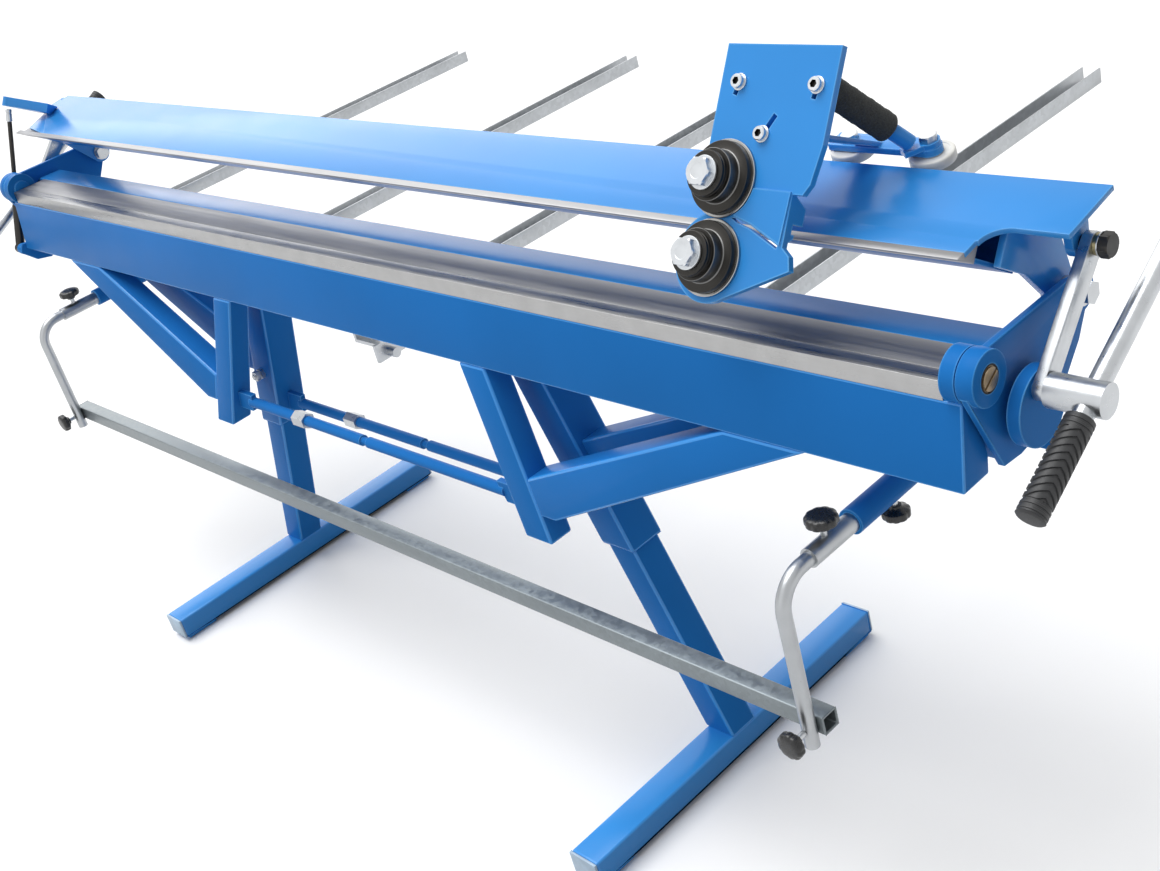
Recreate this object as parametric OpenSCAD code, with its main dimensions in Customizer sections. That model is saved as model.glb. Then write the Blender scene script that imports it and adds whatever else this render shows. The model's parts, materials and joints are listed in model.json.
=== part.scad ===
// Hand folding brake for roofing sheet: a hinged bending leaf under a tilting clamp beam,
// drawn with the beam raised and the leaf hanging down. X runs along the beam, the leaf faces -Y.

/* [Overall] */
// length of the bending leaf
leaf_len = 2200; // [2100:10:2400]
// height of the bed surface and the leaf hinge above the floor
bed_z = 760; // [740:5:820]
// distance of the hinge line in front of the middle of the feet
hinge_front = 52; // [45:1:60]

/* [Bed] */
// depth of the bed behind the hinge line
bed_depth = 94; // [90:1:110]
// height of the bed box
bed_tall = 110; // [105:1:112]
// wall of the bed box
bed_wall = 4; // [3:0.5:5]
// width of the bare steel strip on the bed
bed_strip_w = 48; // [40:1:54]
// thickness of the bare steel strip on the bed
bed_strip_t = 12; // [8:1:14]

/* [Leaf] */
// depth of the leaf in front of the hinge line
leaf_front = 20; // [18:1:24]
// height of the leaf below the hinge line
leaf_tall = 117; // [112:1:122]
// height of the steel strip along the top of the leaf
leaf_strip_h = 22; // [16:1:26]
// amount by which the foot of the leaf face stands forward
leaf_lean = 15; // [8:1:18]
// depth of the leaf box at its foot
leaf_foot = 44; // [38:1:46]

/* [Side plates] */
// thickness of the side plates
plate_t = 8; // [6:1:10]
// radius of the hinge lugs
lug_r = 29; // [25:1:31]
// radius of the hinge pins
pin_r = 15; // [12:0.5:17]
// distance of the beam pivot behind the hinge line
pivot_back = 186; // [180:1:195]
// radius of the beam pivot bolts
pivot_r = 8; // [6:0.5:9]

/* [Clamp beam] */
// angle by which the raised beam stands open
beam_open = 33.6; // [30:0.1:35]
// width of the sloping beam plate, from nose to rear edge
beam_w = 142; // [134:1:150]
// slope of the closed beam plate
beam_slope = 43; // [41:0.5:46]
// thickness of the beam plate
beam_t = 6; // [5:0.5:7]
// overhang of the beam plate past the leaf on the right
beam_over = 63; // [58:1:75]
// length of the cut along the nose at the left corner of the beam plate
corner_run = 127; // [100:1:140]
// height of that cut up the beam plate
corner_rise = 78; // [60:1:85]

/* [Cranks and levers] */
// radius of the crank discs
crank_r = 42; // [38:1:44]
// throw of the crank pins
crank_throw = 27.8; // [26:0.2:29]
// radius of the crank pins
crank_pin_r = 9; // [7:0.5:10]
// radius of the lever bars
bar_r = 11; // [9:0.5:12]
// length of the lever bars
bar_len = 500; // [480:5:540]
// radius of the lever grips
grip_r = 16; // [14:0.5:18]
// length of the lever grips
grip_len = 112; // [95:1:118]
// slope of the lever bars with the beam raised
lever_slope = 27.5; // [22:0.5:32]
// width of the pull links
link_w = 25; // [20:1:28]

/* [Stand] */
// side of the square legs
leg_w = 50; // [45:1:54]
// wall of the leg sleeves
sleeve_wall = 4.5; // [3.5:0.5:6]
// distance of the legs from the middle at the feet
leg_out = 565; // [545:5:600]
// outward run of the legs per unit of height
leg_splay = 0.373; // [0.35:0.001:0.39]
// length of the feet
foot_len = 610; // [560:10:700]
// width of the feet
foot_w = 50; // [46:1:60]
// height of the top of the feet
foot_h = 46; // [42:1:52]
// height of the leg sleeves below the bed
sleeve_len = 309; // [290:1:330]
// distance of the braces' lower ends below the bed
brace_drop = 205; // [190:1:220]
// distance of the braces' outer ends from the middle
brace_out = 902; // [880:1:910]
// length of the braces along the bed and the leaf
brace_top = 120; // [100:1:130]
// distance of the leaf posts from the middle at the leaf
post_x = 303; // [290:1:320]
// length of the leaf posts
post_len = 238; // [225:1:250]
// length of the rear rails behind the bed
rail_len = 786; // [600:1:900]

/* [Front stop] */
// distance of the stop arms from the ends of the stop bar
stop_in = 14; // [10:1:30]
// height of the stop tubes
stop_z = 545; // [540:1:552]
// radius of the straight stop tubes
tube_r = 12; // [11:0.5:13]
// radius of the bent stop arms
arm_r = 9; // [7:0.5:9.5]
// side of the square stop bar
stop_bar_w = 25; // [20:1:30]
// drop of the stop bar below the stop tubes
stop_drop = 198.5; // [180:0.5:220]
// length of the stop bar
stop_len = 1878; // [1830:2:2000]

/* [Slitter] */
// place of the slitter knives along the beam
slit_x = 811; // [790:1:830]
// radius of the knife discs
knife_r = 41.5; // [38:0.5:43]
// radius of the guide rollers
roller_r = 25; // [20:0.5:27]

/* [Fits] */
// radial clearance of pins and bars that turn or slide
run_c = 0.05; // [0.02:0.01:0.08]

/* [Hidden] */

blue = [0.07, 0.30, 0.72];
zinc = [0.78, 0.79, 0.80];
steel = [0.55, 0.55, 0.56];
black = [0.06, 0.06, 0.06];
brass = [0.70, 0.56, 0.30];
white = [0.92, 0.92, 0.90];

// middle of the feet, with the part centred front to back, and the hinge line
cap_t = 4;
fy = (foot_len / 2 + cap_t + hinge_front - bed_depth - rail_len) / 2;
hy = fy - hinge_front;
half = leaf_len / 2;
beam_right = half + beam_over;
stop_x = stop_len / 2 - stop_in;
stop_bar_z = stop_z - stop_drop;
lug_in = half + 1;
lug_out = half + 21;
plate_in = half + 4;
plate_out = plate_in + plate_t;
bed_gap = 0.4;

// beam pivot, and the pull-link and strut points on the beam, seen from the pivot with the beam closed
py = hy + pivot_back;
nose_y = -pivot_back + 0.2;
nose_z = 1;
link_cy = -63.5;
link_cz = 43;
strut_cy = -183.2;
strut_cz = 46.4;
ca = cos(beam_open);
sa = sin(beam_open);
link_ty = py + link_cy * ca + link_cz * sa;
link_tz = bed_z - link_cy * sa + link_cz * ca;
strut_ty = py + strut_cy * ca + strut_cz * sa;
strut_tz = bed_z - strut_cy * sa + strut_cz * ca;

// crank centre and the place of its pin with the beam raised
crank_y = hy + 59;
crank_z = bed_z - 60;
open_d = norm([link_ty - crank_y, link_tz - crank_z]);
shut_d = norm([py + link_cy - crank_y, bed_z + link_cz - crank_z]);
link_len = shut_d + crank_throw;
crank_b = acos((crank_throw * crank_throw + open_d * open_d - link_len * link_len)
  / (2 * crank_throw * open_d));
crank_a = atan2(link_tz - crank_z, link_ty - crank_y) + crank_b;
crank_py = crank_y + crank_throw * cos(crank_a);
crank_pz = crank_z + crank_throw * sin(crank_a);
link_a = atan2(link_tz - crank_pz, link_ty - crank_py);
stop_y = 28;
disc_in = lug_out + 0.4;
disc_out = disc_in + 14.6;
link_in = disc_out + 2;
link_out = link_in + 12;
hub_in = link_out + 2;
hub_out = hub_in + 60;
hub_r = bar_r + 7;
bar_x = hub_in + 42;

// inner faces of the beam's end brackets
bracket_t = 8;
right_bracket = half - 16;
left_bracket = half - 8;

// strut foot
strut_x = half + 34;
strut_sy = hy - 35;
strut_sz = bed_z - 120;
strut_d = norm([strut_ty - strut_sy, strut_tz - strut_sz]);
strut_a = atan2(strut_tz - strut_sz, strut_ty - strut_sy);

// stand
leg_y = hy + 56;
leg_k = sqrt(1 + leg_splay * leg_splay);
bed_low = bed_z - bed_tall;
sleeve_low = bed_low - sleeve_len;
leg_bolt_z = sleeve_low + 114;
brace_low = bed_low - brace_drop;
tie_z = bed_low - 265;
pad_h = 8;
sleeve_w = leg_w + 2 * sleeve_wall + 1;
brace_w = 50;
brace_d = 40;
tie_r = 9;
tie_core = 40;
tie_lug_w = 42;
tie_lap = 12;
leaf_low = bed_z - leaf_tall;
leaf_slope = leaf_lean / (leaf_tall - leaf_strip_h);
post_low = leaf_low - post_len;
leaf_tie_z = leaf_low - 193;
post_w = brace_w * leg_k;
socket_front = hy - 10;
socket_rear = hy + 98;
socket_knob_y = hy + 67;
tube_front = hy - 85;
tube_rear = hy + 82;
arm_knob_y = hy - 55;
arm_y = hy - 139.3;
arm_bend = 40;
rail_x = [-733, -215, 215, 733];
rail_top = bed_z - 32;

// slitter, seen from the beam pivot with the beam closed
slit_y = hy - 34 - py;
cut_z = 7.5;
knife_up = cut_z + knife_r + 0.3;
knife_dn = cut_z - knife_r - 0.3;
plate_c = nose_y + beam_w * cos(beam_slope);
plate_cz = nose_z + beam_w * sin(beam_slope);

function leg_x(z) = leg_out - leg_splay * (z - foot_h);
function sleeve_x(z, side) = leg_x(z) + side * sleeve_w * leg_k / 2;
function post_in(z) = post_x + (leaf_low - z) * leg_splay;
function face_y(z) = hy - leaf_front - (bed_z - leaf_strip_h - z) * leaf_slope;

module yz(x0, x1) {
  translate([x0, 0, 0]) rotate([90, 0, 90]) linear_extrude(x1 - x0) children();
}
module rod_x(x0, x1, r, y, z, fn = 48) {
  translate([x0, y, z]) rotate([0, 90, 0]) cylinder(h = x1 - x0, r = r, $fn = fn);
}
module rod_y(y0, y1, r, x, z, fn = 48) {
  translate([x, y0, z]) rotate([-90, 0, 0]) cylinder(h = y1 - y0, r = r, $fn = fn);
}
module rod_z(z0, z1, r, x, y, fn = 48) {
  translate([x, y, z0]) cylinder(h = z1 - z0, r = r, $fn = fn);
}
module slant(x0, z0, x1, z1, w, y0, y1) {
  translate([0, y1, 0]) rotate([90, 0, 0]) linear_extrude(y1 - y0)
    polygon([[x0 - w / 2, z0], [x0 + w / 2, z0], [x1 + w / 2, z1], [x1 - w / 2, z1]]);
}
module both() {
  children();
  mirror([1, 0, 0]) children();
}
module on_beam() {
  translate([0, py, bed_z]) rotate([-beam_open, 0, 0]) children();
}

// fixed frame

module bed_outline(i) {
  polygon([[hy + bed_gap + 4 + i, bed_z - bed_strip_t - i],
    [hy + bed_strip_w + i, bed_z - bed_strip_t - i],
    [hy + bed_strip_w + i, bed_z - i],
    [hy + bed_depth - i, bed_z - i],
    [hy + bed_depth - i, bed_low + i],
    [hy + 24 + i, bed_low + i],
    [hy + 24 + i, bed_z - 90],
    [hy + bed_gap + 4 + i, bed_z - bed_strip_t - 14]]);
}
module bed_beam() {
  color(blue) difference() {
    yz(-plate_in, plate_in) bed_outline(0);
    yz(-plate_in - 1, plate_in + 1) bed_outline(bed_wall);
    both() rod_x(half - 20, plate_in + 1, lug_r + 2, hy, bed_z);
  }
}
module bed_strip() {
  color(steel) translate([-half + 21, hy + bed_gap, bed_z - bed_strip_t])
    cube([leaf_len - 42, bed_strip_w - bed_gap, bed_strip_t]);
}
module side_outline() {
  translate([hy, bed_z]) {
    polygon([[0, 24], [pivot_back - 24, 24], [pivot_back + 14, 15], [pivot_back + 6, -16],
      [pivot_back - 14, -48], [112, -107], [50, -115], [19, -112], [-lug_r + 2, -12]]);
    circle(r = lug_r, $fn = 72);
    translate([pivot_back, 0]) circle(r = 22, $fn = 72);
  }
}
module side_plate() {
  difference() {
    union() {
      yz(plate_in, plate_out) side_outline();
      rod_x(lug_in, lug_out, lug_r, hy, bed_z, 72);
    }
    rod_x(lug_in - 1, lug_out + 1, pin_r, hy, bed_z, 72);
    rod_x(plate_in - 1, lug_out + 1, 12 + run_c, crank_y, crank_z);
    rod_x(plate_in - 1, lug_out + 1, pivot_r, py, bed_z);
  }
}
module stop_lug() {
  translate([plate_out, crank_y + stop_y - 12, crank_z - 62]) cube([26, 24, 14]);
}
module right_side_plate() {
  color(blue) {
    side_plate();
    stop_lug();
  }
}
module left_side_plate() {
  color(blue) mirror([1, 0, 0]) {
    side_plate();
    stop_lug();
    difference() {
      yz(plate_in, plate_out) translate([hy, bed_z])
        polygon([[19, -112], [50, -115], [40, -132], [8, -155], [-22, -148], [-48, -122], [-40, -106]]);
      rod_x(plate_in - 1, plate_out + 1, 5, strut_sy, strut_sz);
    }
    rod_x(plate_in, strut_x + 7, 5, strut_sy, strut_sz);
    rod_x(plate_out, strut_x - 9.5, 11, strut_sy, strut_sz);
  }
}
module hinge_pins() {
  color(brass) both() difference() {
    rod_x(half - 20, lug_out + 1.5, pin_r, hy, bed_z, 72);
    translate([lug_out - 0.5, hy, bed_z]) rotate([28, 0, 0])
      translate([0, -1.5, -pin_r - 1]) cube([4, 3, 2 * pin_r + 2]);
  }
}
module pivot_bolt(bracket_in, bracket_out) {
  rod_x(bracket_in - 4, lug_out + 2, pivot_r, py, bed_z);
  rod_x(bracket_in - 13, bracket_in - 3, 14, py, bed_z, 6);
  rod_x(bracket_in - 3, bracket_in - 0.3, 15, py, bed_z);
  rod_x(bracket_out + 0.3, plate_in, 14, py, bed_z);
  rod_x(plate_out, plate_out + 3, 15, py, bed_z);
  rod_x(plate_out + 3, plate_out + 12, 13, py, bed_z, 6);
}
module pivot_bolts() {
  color(zinc) {
    pivot_bolt(right_bracket, right_bracket + bracket_t);
    mirror([1, 0, 0]) pivot_bolt(left_bracket, left_bracket + bracket_t);
  }
}
module stop_screws() {
  color(zinc) both() translate([plate_out + 13, crank_y + stop_y, crank_z - 62]) {
    translate([0, 0, -20]) cylinder(h = 20, r = 5, $fn = 32);
    translate([0, 0, -8]) cylinder(h = 8, r = 9.8, $fn = 6);
    translate([0, 0, -26]) cylinder(h = 7, r = 9.8, $fn = 6);
    translate([0, 0, 14]) cylinder(h = 6, r = 5, $fn = 32);
  }
}
module leg_sleeves() {
  color(blue) both() difference() {
    slant(leg_x(sleeve_low), sleeve_low, leg_x(bed_low), bed_low, sleeve_w * leg_k,
      leg_y - sleeve_w / 2, leg_y + sleeve_w / 2);
    slant(leg_x(sleeve_low - 10), sleeve_low - 10, leg_x(bed_low - 5), bed_low - 5, (leg_w + 1) * leg_k,
      leg_y - leg_w / 2 - 0.5, leg_y + leg_w / 2 + 0.5);
    rod_y(leg_y - leg_w, leg_y, 5, leg_x(leg_bolt_z), leg_bolt_z);
  }
}
module bed_braces() {
  root = 60;
  x0 = sleeve_x(brace_low, 1);
  color(blue) both() translate([0, leg_y + brace_d / 2, 0]) rotate([90, 0, 0]) linear_extrude(brace_d)
    polygon([[x0, brace_low], [x0 + 52, brace_low], [brace_out, bed_low], [brace_out - brace_top, bed_low],
      [sleeve_x(brace_low + root, 1), brace_low + root]]);
}
// rod from x 8 out to its end lug, whose edge lies along the line from x0 to x1
module tie_half(x0, x1, y, z, lug_h) {
  rod_x(8, min(x0, x1) - tie_lug_w + tie_lap, tie_r, y, z, 32);
  slant(x0 - tie_lug_w / 2, z - lug_h / 2, x1 - tie_lug_w / 2, z + lug_h / 2, tie_lug_w, y - 5, y + 5);
}
module bed_tie_rod() {
  lug_h = 36;
  color(blue) {
    both() tie_half(sleeve_x(tie_z - lug_h / 2, -1), sleeve_x(tie_z + lug_h / 2, -1), leg_y, tie_z, lug_h);
    rod_x(-tie_core, tie_core, 6, leg_y, tie_z, 32);
  }
}
module tie_nut(x, y, z) {
  difference() {
    rod_x(x - 16, x + 16, 14, y, z, 6);
    rod_x(x - 17, x + 17, tie_r, y, z, 32);
  }
}
module bed_tie_nut() {
  color(zinc) tie_nut(-205, leg_y, tie_z);
}
module legs() {
  color(blue) both() difference() {
    slant(leg_x(foot_h), foot_h, leg_x(bed_low - 30), bed_low - 30, leg_w * leg_k,
      leg_y - leg_w / 2, leg_y + leg_w / 2);
    slant(leg_x(foot_h + 5), foot_h + 5, leg_x(bed_low), bed_low, (leg_w - 6) * leg_k,
      leg_y - leg_w / 2 + 3, leg_y + leg_w / 2 - 3);
  }
}
module feet() {
  color(blue) both() translate([leg_out - foot_w / 2, fy - foot_len / 2, 0]) {
    difference() {
      translate([0, 0, pad_h]) cube([foot_w, foot_len, foot_h - pad_h]);
      translate([3, -1, pad_h + 3]) cube([foot_w - 6, foot_len + 2, foot_h - pad_h - 6]);
    }
    for (y = [4, foot_len - 64]) translate([3, y, 0]) cube([foot_w - 6, 60, pad_h]);
  }
}
module foot_caps() {
  color(white) both() for (s = [-1, 1])
    translate([leg_out - foot_w / 2, fy + (s < 0 ? -foot_len / 2 - cap_t : foot_len / 2), pad_h])
      cube([foot_w, cap_t, foot_h - pad_h]);
}
module leg_bolts() {
  color(zinc) both() translate([leg_x(leg_bolt_z), leg_y - sleeve_w / 2, leg_bolt_z]) {
    rotate([90, 0, 0]) translate([0, 0, -sleeve_wall]) cylinder(h = 10, r = 5, $fn = 32);
    rotate([90, 0, 0]) cylinder(h = 7, r = 9.8, $fn = 6);
    rotate([90, 0, 0]) translate([0, 0, 9]) cylinder(h = 8, r = 9.8, $fn = 6);
    rotate([90, 0, 0]) cylinder(h = 20, r = 5, $fn = 32);
  }
}
module stop_sockets() {
  color(blue) both() difference() {
    union() {
      rod_y(socket_front, socket_rear, tube_r + 4, stop_x, stop_z);
      translate([stop_x - 5, leg_y + brace_d / 2 + 0.5, stop_z]) cube([10, 17, bed_low - stop_z]);
    }
    rod_y(socket_front - 1, socket_rear + 1, tube_r + run_c, stop_x, stop_z);
    rod_z(stop_z - 40, stop_z, 4 + run_c, stop_x, socket_knob_y);
  }
}
module rear_rails() {
  color(zinc) for (x = rail_x) translate([x, hy + bed_depth, rail_top]) {
    difference() {
      translate([-15, 0, -22]) cube([30, rail_len, 22]);
      translate([-12.5, 5, -19.5]) cube([25, rail_len, 30]);
    }
    translate([-26, 0, -60]) cube([52, 5, 38]);
    translate([-15, 0, -27]) cube([30, 45, 5]);
  }
}
module latch_bracket() {
  color(zinc) {
    translate([-78, hy + 38, bed_low - 81]) cube([6, 40, 81]);
    translate([-78, hy + 38, bed_low - 81]) cube([62, 40, 6]);
    translate([-22, hy + 32, bed_low - 105]) cube([6, 52, 30]);
    rod_x(-50, 0, 8, hy + 58, bed_low - 96);
  }
}

// bending leaf

module leaf_section(i) {
  yl = face_y(leaf_low);
  polygon([[hy - leaf_front + i, bed_z - leaf_strip_h - i],
    [yl + i * 1.1, leaf_low + i],
    [yl + leaf_foot - i, leaf_low + i],
    [yl + leaf_foot + 3 - i, leaf_low + 21],
    [hy - 3 - i, bed_z - leaf_strip_h - i]]);
}
module leaf_beam() {
  // the hinge lugs are blocks set on the ends of the box
  lug_t = 17;
  lug_seat = 0.05;
  color(blue) {
    difference() {
      yz(-half, half) leaf_section(0);
      yz(-half + 8, half - 8) leaf_section(3);
    }
    both() difference() {
      rod_x(half - lug_t, half, lug_r, hy, bed_z, 72);
      rod_x(half - lug_t - 1, half + 1, pin_r + run_c, hy, bed_z, 72);
      translate([half - lug_t - 1, hy - 2 * lug_r, bed_z - leaf_strip_h - lug_r])
        cube([lug_t + 2, 4 * lug_r, lug_r + lug_seat]);
    }
  }
}
module leaf_strip() {
  color(steel) translate([-half + 21, hy - leaf_front, bed_z - leaf_strip_h])
    cube([leaf_len - 42, leaf_front, leaf_strip_h]);
}
module leaf_shear() {
  multmatrix([[1, 0, 0, 0], [0, 1, leaf_slope, face_y(0)], [0, 0, 1, 0], [0, 0, 0, 1]]) children();
}
module leaf_posts() {
  color(blue) both() leaf_shear()
    slant(post_in(post_low) + post_w / 2, post_low, post_x + post_w / 2, leaf_low, post_w, 0, brace_d);
}
module leaf_braces() {
  root = 50;
  x0 = post_in(brace_low) + post_w;
  color(blue) both() leaf_shear() translate([0, brace_d, 0]) rotate([90, 0, 0]) linear_extrude(brace_d)
    polygon([[x0, brace_low], [x0 + 30, brace_low], [brace_out, leaf_low], [brace_out - brace_top, leaf_low],
      [post_in(brace_low + root) + post_w, brace_low + root]]);
}
leaf_tie_y = face_y(leaf_tie_z) + brace_d / 2;
module leaf_tie_rod() {
  lug_h = 32;
  color(blue) {
    both() tie_half(post_in(leaf_tie_z - lug_h / 2), post_in(leaf_tie_z + lug_h / 2),
      leaf_tie_y, leaf_tie_z, lug_h);
    rod_x(-tie_core, tie_core, 6, leaf_tie_y, leaf_tie_z, 32);
  }
}
module leaf_tie_nut() {
  color(zinc) tie_nut(-181, leaf_tie_y, leaf_tie_z);
}

// clamp beam

function pl(u, v) = [nose_y + u * cos(beam_slope) + v * sin(beam_slope),
  nose_z + u * sin(beam_slope) - v * cos(beam_slope)];
nose_u = 12;
nose_deep = 30;
stiff_back = 98;
notch_u = 58;
notch_r = 26;
nose_end = half - 21;
// point of the cut left corner, from 0 at the nose to 1 at the plate's end
function corner_cut(t) = [-half + corner_run * (1 - t), nose_u + corner_rise * t];
// point of the plate's upper face, with z out of the face
module on_flat(u, x) {
  translate([x, pl(u, 0)[0], pl(u, 0)[1]]) rotate([beam_slope, 0, 0]) children();
}
// plane of the beam plate: x along the beam, y up the plate, z out of its upper face
module in_plate(z) {
  translate([0, nose_y, nose_z]) rotate([beam_slope, 0, 0]) translate([0, 0, z]) children();
}
module beam_plate() {
  // the notched right end is a block of its own, set against the long plate
  end_x = nose_end + 0.5;
  end_seat = 0.05;
  color(blue) on_beam() {
    difference() {
      yz(-half, end_x - end_seat)
        polygon([pl(nose_u, 0), pl(beam_w, 0), pl(beam_w, beam_t), pl(nose_u, beam_t)]);
      in_plate(-beam_t - 5) linear_extrude(beam_t + 10) polygon([corner_cut(-0.1), corner_cut(1.1),
        [corner_cut(1.1)[0], corner_cut(-0.1)[1]]]);
    }
    difference() {
      yz(end_x, beam_right)
        polygon([pl(notch_u - notch_r, 0), pl(beam_w, 0), pl(beam_w, beam_t), pl(notch_u - notch_r, beam_t)]);
      yz(half + 6, beam_right + 1)
        polygon([pl(-5, -5), pl(notch_u, -5), pl(notch_u, beam_t + 5), pl(-5, beam_t + 5)]);
      on_flat(notch_u - notch_r, half + 8) translate([0, 0, -20]) cylinder(h = 40, r = notch_r, $fn = 72);
    }
  }
}
module nose_strip() {
  color(steel) on_beam() yz(-nose_end, nose_end)
    polygon([[nose_y, nose_z], [nose_y + nose_deep, nose_z],
      [nose_y + nose_deep, nose_z + nose_deep * tan(beam_slope) - beam_t / cos(beam_slope)],
      pl(nose_u, beam_t), pl(nose_u, 0)]);
}
module beam_stiffener() {
  yb = nose_y + stiff_back;
  zb = nose_z + stiff_back * tan(beam_slope) - beam_t / cos(beam_slope);
  color(blue) on_beam() yz(-nose_end, nose_end)
    polygon([[nose_y + nose_deep, nose_z + 1], [yb + 5, nose_z + 1], [yb + 5, zb + 5 * tan(beam_slope)],
      [yb, zb], [yb, nose_z + 6], [nose_y + nose_deep, nose_z + 6]]);
}
module bracket_outline() {
  difference() {
    union() {
      polygon([[-130, nose_z + 2], [-82, nose_z + 2], [-6, -19], [14.5, 13.8],
        pl(beam_w - 2, beam_t), pl(76.6, beam_t), [-130, 44]]);
      circle(r = 20, $fn = 60);
    }
    circle(r = pivot_r + run_c, $fn = 48);
  }
}
module beam_brackets() {
  color(blue) on_beam() {
    yz(right_bracket, right_bracket + bracket_t) bracket_outline();
    yz(-left_bracket - bracket_t, -left_bracket) bracket_outline();
  }
}
module link_outline() {
  polygon([pl(104, beam_t), pl(beam_w, beam_t), [link_cy + 15, link_cz + 4], [link_cy + 8, link_cz - 13],
    [link_cy - 12, link_cz - 10]]);
  translate([link_cy, link_cz]) circle(r = 15, $fn = 48);
}
module link_tab() {
  color(blue) on_beam() yz(link_in - 14, link_in - 4) link_outline();
}
module strut_arm() {
  arm_t = 18;
  arm_z = strut_cz + 5;
  head_r = 13;
  root_u = 96;
  root_y = pl(root_u, 0)[0];
  color(blue) on_beam() {
    difference() {
      translate([0, 0, arm_z]) linear_extrude(arm_t) {
        translate([-strut_x, strut_cy]) circle(r = head_r, $fn = 48);
        polygon([[-strut_x, strut_cy - head_r], [-half + corner_run / 2, pl(nose_u + corner_rise / 2, 0)[0]],
          [-half + 34, root_y], [-half, root_y], [-strut_x - 6, strut_cy + head_r - 3]]);
      }
      in_plate(-60) translate([-half - 100, -50, 0]) cube([400, 400, 60]);
    }
    in_plate(-beam_t) linear_extrude(beam_t - 2)
      polygon([corner_cut(0), corner_cut(1), [-half + 34, nose_u + 14]]);
    yz(-link_in + 4, -link_in + 14) link_outline();
    yz(-link_in + 9, -left_bracket - bracket_t)
      polygon([pl(108, beam_t), pl(134, beam_t), pl(134, beam_t + 14), pl(108, beam_t + 14)]);
  }
}

// cranks, levers and links

module crank() {
  rod_x(disc_in, disc_out, crank_r, crank_y, crank_z, 96);
  rod_x(plate_in - 8, disc_in + 1, 12, crank_y, crank_z);
  rod_x(plate_in - 8, plate_in - 1, 17, crank_y, crank_z);
  rod_x(disc_out - 1, hub_in, crank_pin_r, crank_py, crank_pz);
}
module right_crank() {
  color(blue) crank();
}
module left_crank() {
  color(blue) mirror([1, 0, 0]) crank();
}
module at_hub() {
  translate([bar_x, crank_py, crank_pz]) rotate([lever_slope, 0, 0]) children();
}
module hub() {
  difference() {
    rod_x(hub_in, hub_out, hub_r, crank_py, crank_pz, 60);
    at_hub() rod_y(-60, 60, bar_r + run_c, 0, 0);
  }
}
module right_hub() {
  color(zinc) hub();
}
module left_hub() {
  color(zinc) mirror([1, 0, 0]) hub();
}
bar_front = -hub_r - grip_len - 2;
module right_bar() {
  color(zinc) at_hub() rod_y(bar_front, bar_front + bar_len, bar_r, 0, 0);
}
module left_bar() {
  color(zinc) mirror([1, 0, 0]) at_hub() rod_y(-bar_len / 2, bar_len / 2, bar_r, 0, 0);
}
module grips(y0) {
  for (y = [y0 - 4, y0 + bar_len - grip_len + 4]) {
    near = y < y0 + 1;
    at_hub() difference() {
      union() {
        rod_y(y, y + grip_len, grip_r - 1.5, 0, 0);
        rod_y(y, y + 4, grip_r, 0, 0);
        rod_y(y + grip_len - 4, y + grip_len, grip_r, 0, 0);
      }
      rod_y(near ? y + 4 : y - 1, near ? y + grip_len + 1 : y + grip_len - 4, bar_r, 0, 0);
    }
  }
}
module right_grips() {
  color(black) grips(bar_front);
}
module left_grips() {
  color(black) mirror([1, 0, 0]) grips(-bar_len / 2);
}
module link() {
  translate([0, crank_py, crank_pz]) rotate([link_a, 0, 0]) {
    difference() {
      yz(link_in, link_out) {
        translate([0, -link_w / 2]) square([link_len, link_w]);
        circle(r = link_w / 2, $fn = 48);
        translate([link_len, 0]) circle(r = link_w / 2, $fn = 48);
      }
      rod_x(link_in - 1, link_out + 1, crank_pin_r + run_c, 0, 0);
    }
    rod_x(link_in - 3.5, link_out + 8, 8, link_len, 0);
    rod_x(link_out, link_out + 6, 12, link_len, 0);
    rod_x(link_out + 6, link_out + 16, 13.5, link_len, 0, 6);
  }
}
module right_link() {
  color(zinc) link();
}
module left_link() {
  color(zinc) mirror([1, 0, 0]) link();
}
module at_strut() {
  translate([-strut_x, strut_sy, strut_sz]) rotate([strut_a - 90, 0, 0]) children();
}
module strut_cylinder() {
  color(black) at_strut() difference() {
    union() {
      cylinder(h = 142, r = 9, $fn = 48);
      rod_x(-6, 6, 10, 0, 0);
    }
    translate([0, 0, 12]) cylinder(h = 140, r = 4.5 + run_c, $fn = 48);
    rod_x(-10, 10, 5 + run_c, 0, 0);
  }
}
module strut_rod() {
  color(black) at_strut() {
    translate([0, 0, 122]) cylinder(h = strut_d - 122, r = 4.5, $fn = 48);
    translate([0, 0, strut_d - 24]) cylinder(h = 24, r = 6, $fn = 32);
  }
}

// front stop

module stop_tubes() {
  color(zinc) both() difference() {
    rod_y(tube_front, tube_rear, tube_r, stop_x, stop_z);
    rod_y(tube_front - 1, tube_rear + 1, arm_r + run_c, stop_x, stop_z);
    rod_z(stop_z, stop_z + 40, 4 + run_c, stop_x, arm_knob_y);
  }
}
module stop_arms() {
  color(zinc) both() {
    rod_y(arm_y + arm_bend, hy - 8, arm_r, stop_x, stop_z);
    translate([stop_x, arm_y + arm_bend, stop_z - arm_bend]) rotate([0, -90, 0])
      rotate([0, 0, 180]) mirror([1, 0, 0]) rotate_extrude(angle = 90, $fn = 72)
        translate([arm_bend, 0]) circle(r = arm_r, $fn = 36);
    rod_z(stop_bar_z - 24.5, stop_z - arm_bend, arm_r, stop_x, arm_y);
  }
}
module stop_bar() {
  y0 = arm_y + arm_r;
  color(zinc) difference() {
    translate([-stop_len / 2, y0, stop_bar_z - stop_bar_w / 2]) cube([stop_len, stop_bar_w, stop_bar_w]);
    translate([-stop_len / 2 - 1, y0 + 2, stop_bar_z - stop_bar_w / 2 + 2])
      cube([stop_len + 2, stop_bar_w - 4, stop_bar_w - 4]);
  }
}
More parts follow.
